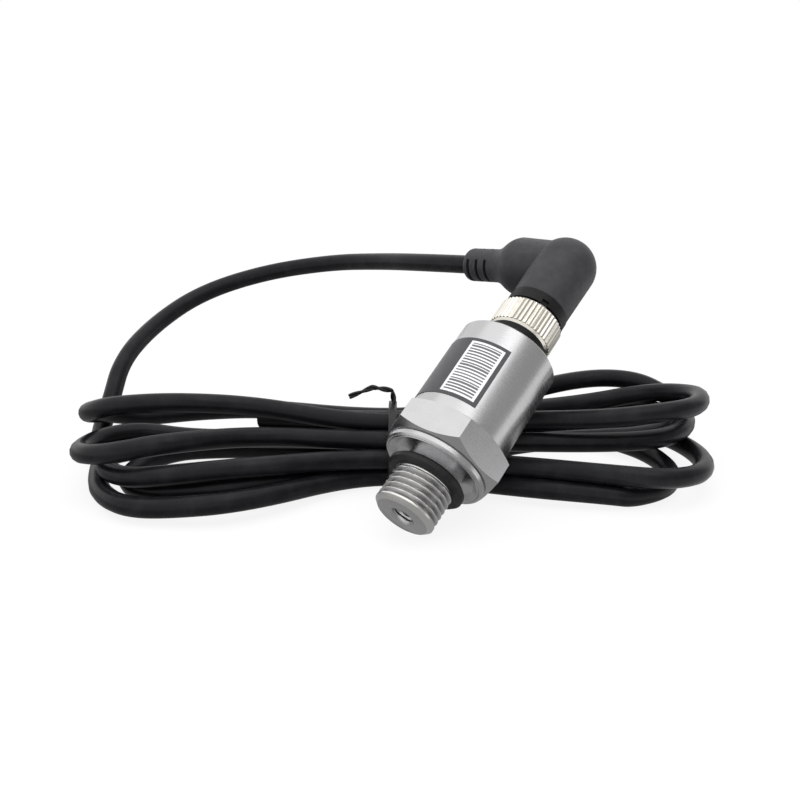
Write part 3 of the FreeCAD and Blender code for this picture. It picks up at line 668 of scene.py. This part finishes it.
def turned_steel():
    """Turned and milled stainless: fine lathe rings, faint smears, painted shade and highlights.
    """
    f = Finish("turned_steel", (0.56, 0.56, 0.565), 0.22, 1.0)
    rings = f.noise(2.2, 2, (0.15, 0.15, 9.0))
    smears = f.noise(0.35, 4)
    x, y, z = f.parts()
    radius = f.math("SQRT", f.math("ADD", f.both(x, x), f.both(y, y)))
    outside = THREAD_R + JUST_OUTSIDE
    # painted shade in the thread's grooves, darker towards the root, on the threaded length only
    depth = f.spread(radius, 1, 0, (THREAD_R - ROOT_DARK, THREAD_R - ROOT_CLEAR))
    root = f.both(depth, f.between(radius, PORT_R + PORT_WALL, outside))
    root = f.both(root, f.between(z, TIP_CHAMFER, THREAD_END))
    # painted highlights: a bright band on the thread's crests and a bright ring on the tip's
    # chamfer
    crest = f.both(f.between(radius, THREAD_R - CREST_WIDTH, outside),
                   f.between(z, TIP_CHAMFER, THREAD_END + CREST_OVERRUN))
    chamfer = f.both(f.between(radius, THREAD_R - CHAMFER_WIDTH, outside),
                     f.between(z, END_FACE, TIP_CHAMFER))
    painted_highlight = f.math("MAXIMUM", crest, chamfer)
    clean = f.blend(f.spread(smears, 0, 0.5), f.color, (0.50, 0.50, 0.51))
    # the steel, darkened in the roots by the painted shade, then brightened by the painted
    # highlights
    turned = f.blend(f.both(root, 0.7), clean, (0.20, 0.195, 0.18))
    f.paint(f.blend(f.both(painted_highlight, 0.8), turned, (0.80, 0.79, 0.76)))
    f.rough(f.mixed(rings, 0.4, smears, 0.6), 0.18, 0.36)
    f.bump(rings, 0.006, 0.4)
    return f.material


def brushed_steel():
    """The sleeve: long fine brush lines round the body, a few smudges."""
    f = Finish("brushed_steel", (0.56, 0.56, 0.565), 0.26, 1.0)
    lines = f.noise(3.0, 3, (0.10, 0.10, 9.0))
    smudges = f.noise(0.18, 3, (1, 1, 0.6))
    f.tint(f.spread(lines, 0, 0.45), (0.52, 0.52, 0.53))
    f.rough(f.mixed(lines, 0.6, smudges, 0.4), 0.20, 0.34)
    f.bump(lines, 0.003, 0.4)
    return f.material


def nickel():
    """Warm bright nickel plate."""
    f = Finish("nickel_plate", (0.80, 0.77, 0.70), 0.24, 1.0)
    cloud = f.noise(0.8, 4)
    f.tint(f.spread(cloud, 0, 0.6), (0.70, 0.67, 0.60))
    f.rough(cloud, 0.18, 0.34)
    f.bump(f.noise(6, 2), 0.006, 0.4)
    return f.material


def moulded(name, color, other, roughness, grain, depth, gloss):
    """Moulded plastic or rubber: even colour, slight mottling, fine grain."""
    f = Finish(name, color, roughness, gloss=gloss)
    cloud = f.noise(0.5, 4)
    f.tint(f.spread(cloud, 0, 1), other)
    f.rough(f.noise(1.5, 4), roughness - 0.07, roughness + 0.07)
    f.bump(f.noise(grain, 3), depth, 0.5)
    return f.material


def cable_jacket():
    """Semi-gloss PVC: soft waves from the core strands, dusty scuffs."""
    f = Finish("cable_jacket", (0.007, 0.0073, 0.0085), 0.33, gloss=0.17, on_bench=False)
    dust = f.noise(0.25, 5)
    f.tint(f.spread(dust, 0, 0.8, (0.45, 0.75)), (0.016, 0.017, 0.020))
    scuffs = f.noise(2.5, 5)
    f.rough(scuffs, 0.26, 0.40)
    f.bump(f.math("ADD", f.noise(0.35, 2), f.both(scuffs, 0.12)), 0.10, 0.45)
    return f.material


# ---- label, in mm and degrees on the bench ----
PANEL_FROM, PANEL_TO = 84.4, 124.4
PANEL_LOW, PANEL_HIGH = 24.0, 37.5
PANEL_SIDE_MARGIN = 3
PANEL_END_MARGIN = 0.5
BAR_PITCH = 0.72
BAR_SHARES = (0.40, 0.75)  # how much of its pitch the thinnest and the thickest bar fill
WHOLE_RANGE = (0, 1)


def label_film():
    """Satin film: dark field, white panel with plain bars across it."""
    dark = (0.050, 0.051, 0.056)
    f = Finish("label_film", dark, 0.36, gloss=0.4)
    x, y, z = f.parts()
    angle = f.both(f.math("ARCTAN2", y, x), 180 / math.pi)
    panel = f.both(f.between(angle, PANEL_FROM, PANEL_TO), f.between(z, PANEL_LOW, PANEL_HIGH))
    inner = f.both(
        f.between(angle, PANEL_FROM + PANEL_SIDE_MARGIN, PANEL_TO - PANEL_SIDE_MARGIN),
        f.between(z, PANEL_LOW + PANEL_END_MARGIN, PANEL_HIGH - PANEL_END_MARGIN))
    rows = f.math("DIVIDE", z, BAR_PITCH)
    tone = f.add("ShaderNodeTexWhiteNoise", noise_dimensions="1D")
    f.link(f.math("FLOOR", rows), tone.inputs["W"])
    width = f.spread(tone.outputs["Value"], *BAR_SHARES, WHOLE_RANGE)
    bars = f.both(inner, f.math("LESS_THAN", f.math("FRACT", rows), width))
    white = f.blend(bars, (0.86, 0.87, 0.88), (0.13, 0.13, 0.14))
    wear = f.spread(f.noise(0.6, 4), 0, 0.5)
    field = f.blend(wear, dark, (0.072, 0.073, 0.078))
    f.paint(f.blend(panel, field, white))
    f.rough(f.noise(1.2, 3), 0.30, 0.42)
    f.bump(f.noise(0.7, 2), 0.01, 0.4)
    return f.material


def circuit_board():
    """Green solder mask over copper tracks."""
    f = Finish("circuit_board", (0.015, 0.13, 0.05), 0.35)
    grid = f.add("ShaderNodeTexBrick")
    f.link(f.place, grid.inputs["Vector"])
    grid.inputs["Scale"].default_value = 0.6
    grid.inputs["Mortar Size"].default_value = 0.06
    f.tint(grid.outputs["Fac"], (0.05, 0.24, 0.09))
    f.rough(f.noise(1.5, 3), 0.28, 0.42)
    f.bump(grid.outputs["Fac"], 0.03, 0.5)
    return f.material


def core_insulation():
    """Four wires in brown, white, blue and black, told apart by where they run."""
    f = Finish("core_insulation", (0.2, 0.2, 0.2), 0.4)
    x, y, _ = f.parts()
    left = f.math("GREATER_THAN", x, 0)
    back = f.math("GREATER_THAN", y, 0)
    brown_or_white = f.blend(left, (0.16, 0.06, 0.02), (0.75, 0.75, 0.74))
    blue_or_black = f.blend(left, (0.02, 0.06, 0.35), (0.02, 0.02, 0.02))
    f.paint(f.blend(back, brown_or_white, blue_or_black))
    f.rough(f.noise(2.0, 3), 0.34, 0.48)
    f.bump(f.noise(3.0, 2), 0.01, 0.4)
    return f.material


def gold():
    """Thin gold plate on the pins and sockets."""
    f = Finish("gold_plate", (0.83, 0.60, 0.22), 0.2, 1.0)
    f.tint(f.noise(1.5, 3), (0.78, 0.55, 0.20))
    f.rough(f.noise(3.0, 3), 0.15, 0.28)
    f.bump(f.noise(5.0, 2), 0.005, 0.4)
    return f.material


def dress(piece, material):
    """Give one material to a piece or to a CAD node's slots."""
    data = piece.data
    if not data.materials:
        data.materials.append(material)
    for i in range(len(data.materials)):
        data.materials[i] = material


# Each moulded material: its colour, the colour it is mottled with, its roughness, its grain in
# grains a mm, the grain's depth in mm, and its gloss.
MOULDINGS = {
    "black_nylon": ((0.005, 0.005, 0.0055), (0.009, 0.009, 0.010), 0.45, 5.0, 0.015, 0.2),
    "elbow_rubber": ((0.030, 0.0305, 0.034), (0.042, 0.0425, 0.047), 0.52, 7.0, 0.02, 0.3),
    "seal_rubber": ((0.008, 0.008, 0.0085), (0.018, 0.018, 0.0195), 0.5, 4.0, 0.02, 0.25),
    "alumina": ((0.83, 0.82, 0.79), (0.76, 0.75, 0.72), 0.45, 6.0, 0.01, 0.3),
    "chip_epoxy": ((0.02, 0.02, 0.021), (0.035, 0.035, 0.036), 0.6, 8.0, 0.01, 0.3),
    "spacer_nylon": ((0.55, 0.53, 0.48), (0.48, 0.46, 0.41), 0.5, 5.0, 0.015, 0.3),
    "tie_film": ((0.007, 0.007, 0.008), (0.016, 0.016, 0.018), 0.42, 3.0, 0.03, 0.3),
}


def dress_everything(pieces):
    """Every new piece and every CAD node gets its finish."""
    steel, sleeve, plate = turned_steel(), brushed_steel(), nickel()
    black, elbow, rubber, ceramic, chip, spacer, tie = (
        moulded(name, *looks) for name, looks in MOULDINGS.items())
    board, film, contacts, cores, jacket = (
        circuit_board(), label_film(), gold(), core_insulation(), cable_jacket())
    finishes = {
        "process_connection": steel, "port_seal_ring": rubber, "cell_seal": rubber,
        "sensor_cell": ceramic, "cell_clamp_ring": steel, "cell_leads": contacts,
        "board_spacer": spacer, "signal_board": board, "main_board": board,
        "board_chip": chip, "board_capacitors": spacer, "housing_sleeve": sleeve,
        "rating_label": film, "top_seal_ring": rubber, "connector_housing": black,
        "contact_pins": contacts, "pin_leads": contacts, "coupling_nut": plate,
        "plug_face_seal": rubber, "socket_insert": black, "socket_contacts": contacts,
        "lock_ring": black, "conductor_cores": cores, "elbow_overmold": elbow,
        "cable_coil": jacket, "cable_lead": jacket, "twist_tie": tie,
    }
    for node, material in finishes.items():
        dress(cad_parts[node], material)
    for piece, node in pieces.items():
        dress(piece, finishes[node])


# ---------------------------------------------------------------- studio

# Places and sizes are in metres here.
PLAIN_LIGHT = 0.50         # how strongly the white surroundings light things
FLOOR_SIZE = 8.0
FLOOR_WHITE = 0.95
FLOOR_GLOW = (0.88, 1.0)   # the share of the floor that glows, near the middle and far away
GLOW_FADE = (0.12, 0.60)   # distances from the middle between which that changes
LAMP_AIM = Vector((0, 0, 0.02))
# Each lamp: place, width, height, power in watts, and whether it is mirrored.
LAMPS = {
    "key_light": ((-0.12, 0.05, 0.75), 1.0, 1.0, 1.1, True),
    "ceiling_light": ((-0.05, 0.0, 0.80), 1.2, 1.2, 7.0, False),
    "strip_light": ((-0.012, -0.25, 0.33), 0.05, 0.5, 0.10, True),
}
# Each card: place, width, height, a point that it faces, and its grey.
CARDS = {
    "right_card": ((0.10, -0.32, 0.222), 0.80, 0.42, (0.0, -0.05, 0.222), 0.42),
    # painted shade seen only in mirrors: a dark card under and behind the stud stands in for the
    # floor's shadow
    "floor_shade_card": ((0.0, 0.08, 0.0004), 0.24, 0.24, (0.0, 0.08, 1.0), 0.36),
}


def looked_at(tree):
    """1 where a thing is looked at, mirrored or seen through, and 0 where it only lights."""
    path = tree.nodes.new("ShaderNodeLightPath")
    seen = path.outputs["Is Camera Ray"]
    for kind in ("Is Glossy Ray", "Is Transmission Ray"):
        either = new_node(tree, "ShaderNodeMath", operation="MAXIMUM")
        tree.links.new(seen, either.inputs[0])
        tree.links.new(path.outputs[kind], either.inputs[1])
        seen = either.outputs[0]
    return seen


def mix_shaders(tree, share, first, second, output):
    """Send a mix of two shaders to the output."""
    mix = tree.nodes.new("ShaderNodeMixShader")
    for source, target in zip((share, first, second), mix.inputs):
        tree.links.new(source, target)
    tree.links.new(mix.outputs[0], tree.nodes[output].inputs["Surface"])


def flat_sheet(name, width, height, material):
    """A flat sheet at the origin, facing up."""
    bm = bmesh.new()
    bmesh.ops.create_grid(bm, x_segments=1, y_segments=1, size=0.5)
    bmesh.ops.scale(bm, verts=bm.verts, vec=(width, height, 1))
    mesh = bpy.data.meshes.new(name)
    bm.to_mesh(mesh)
    bm.free()
    mesh.materials.append(material)
    sheet = bpy.data.objects.new(name, mesh)
    bpy.context.scene.collection.objects.link(sheet)
    return sheet


def surroundings():
    """White all round where it is looked at or mirrored, and dimmer where it only lights."""
    world = bpy.data.worlds.new("studio")
    bpy.context.scene.world = world
    world.use_nodes = True
    tree = world.node_tree
    plain = tree.nodes["Background"]
    bright = tree.nodes.new("ShaderNodeBackground")
    for light, strength in ((plain, PLAIN_LIGHT), (bright, 1.0)):
        light.inputs["Color"].default_value = (1, 1, 1, 1)
        light.inputs["Strength"].default_value = strength
    mix_shaders(tree, looked_at(tree), plain.outputs[0], bright.outputs[0], "World Output")


def floor():
    """White paper: where it is looked at it mostly glows, and the rest takes a soft shadow."""
    material = bpy.data.materials.new("floor_paper")
    material.use_nodes = True
    tree = material.node_tree
    paper = tree.nodes["Principled BSDF"]
    paper.inputs["Base Color"].default_value = (FLOOR_WHITE, FLOOR_WHITE, FLOOR_WHITE, 1)
    paper.inputs["Roughness"].default_value = 1.0
    paper.inputs["Specular IOR Level"].default_value = 0.0
    glow = tree.nodes.new("ShaderNodeEmission")
    place = tree.nodes.new("ShaderNodeTexCoord")
    distance = new_node(tree, "ShaderNodeVectorMath", operation="LENGTH")
    tree.links.new(place.outputs["Object"], distance.inputs[0])
    fade = new_node(tree, "ShaderNodeMapRange", interpolation_type="SMOOTHSTEP")
    for key, value in zip(("From Min", "From Max", "To Min", "To Max"), GLOW_FADE + FLOOR_GLOW):
        fade.inputs[key].default_value = value
    tree.links.new(distance.outputs["Value"], fade.inputs["Value"])
    share = new_node(tree, "ShaderNodeMath", operation="MULTIPLY")
    tree.links.new(looked_at(tree), share.inputs[0])
    tree.links.new(fade.outputs["Result"], share.inputs[1])
    mix_shaders(tree, share.outputs[0], paper.outputs[0], glow.outputs[0], "Material Output")
    flat_sheet("floor", FLOOR_SIZE, FLOOR_SIZE, material)


def soft_box(name, place, width, height, power, mirrored):
    """A lamp that is a glowing rectangle, aimed just above the middle of the floor."""
    data = bpy.data.lights.new(name, "AREA")
    data.shape = "RECTANGLE"
    data.size = width
    data.size_y = height
    data.energy = power
    lamp = bpy.data.objects.new(name, data)
    lamp.location = place
    aim = LAMP_AIM - lamp.location
    lamp.rotation_euler = aim.to_track_quat("-Z", "Y").to_euler()
    lamp.visible_glossy = mirrored
    bpy.context.scene.collection.objects.link(lamp)


def grey_card(name, place, width, height, facing, grey):
    """A card that only mirrors see: it gives the steel something darker to show."""
    material = bpy.data.materials.new(name)
    material.use_nodes = True
    tree = material.node_tree
    glow = tree.nodes.new("ShaderNodeEmission")
    glow.inputs["Color"].default_value = (grey, grey, grey, 1)
    tree.links.new(glow.outputs[0], tree.nodes["Material Output"].inputs["Surface"])
    card = flat_sheet(name, width, height, material)
    turn = (Vector(facing) - Vector(place)).to_track_quat("Z", "Y").to_matrix().to_4x4()
    card.data.transform(Matrix.Translation(place) @ turn)
    card.visible_camera = False
    card.visible_shadow = False
    card.visible_diffuse = False


def studio():
    """Pale floor, white surroundings, big soft boxes overhead and cards for the mirrors."""
    bpy.context.scene.view_settings.view_transform = "Standard"
    surroundings()
    floor()
    for name, looks in LAMPS.items():
        soft_box(name, *looks)
    for name, looks in CARDS.items():
        grey_card(name, *looks)


# ---------------------------------------------------------------- the whole scene

camera()
lead_and_coil = cable()
tie_wire = twist_tie()
pieces = {
    lead_and_coil: "cable_coil",
    tie_wire: "twist_tie",
    process_connection(): "process_connection",
    copied_piece("housing_sleeve", "sleeve_tube", "transmitter"): "housing_sleeve",
    copied_piece("port_seal_ring", "seal_ring", "transmitter"): "port_seal_ring",
    elbow(): "elbow_overmold",
    threaded_connector(): "connector_housing",
    copied_piece("lock_ring", "locking_ring", "plug_and_cable"): "lock_ring",
    copied_piece("coupling_nut", "knurled_nut", "nut", CRISP_KNURL): "coupling_nut",
}
dress_everything(pieces)
studio()

bpy.context.view_layer.update()
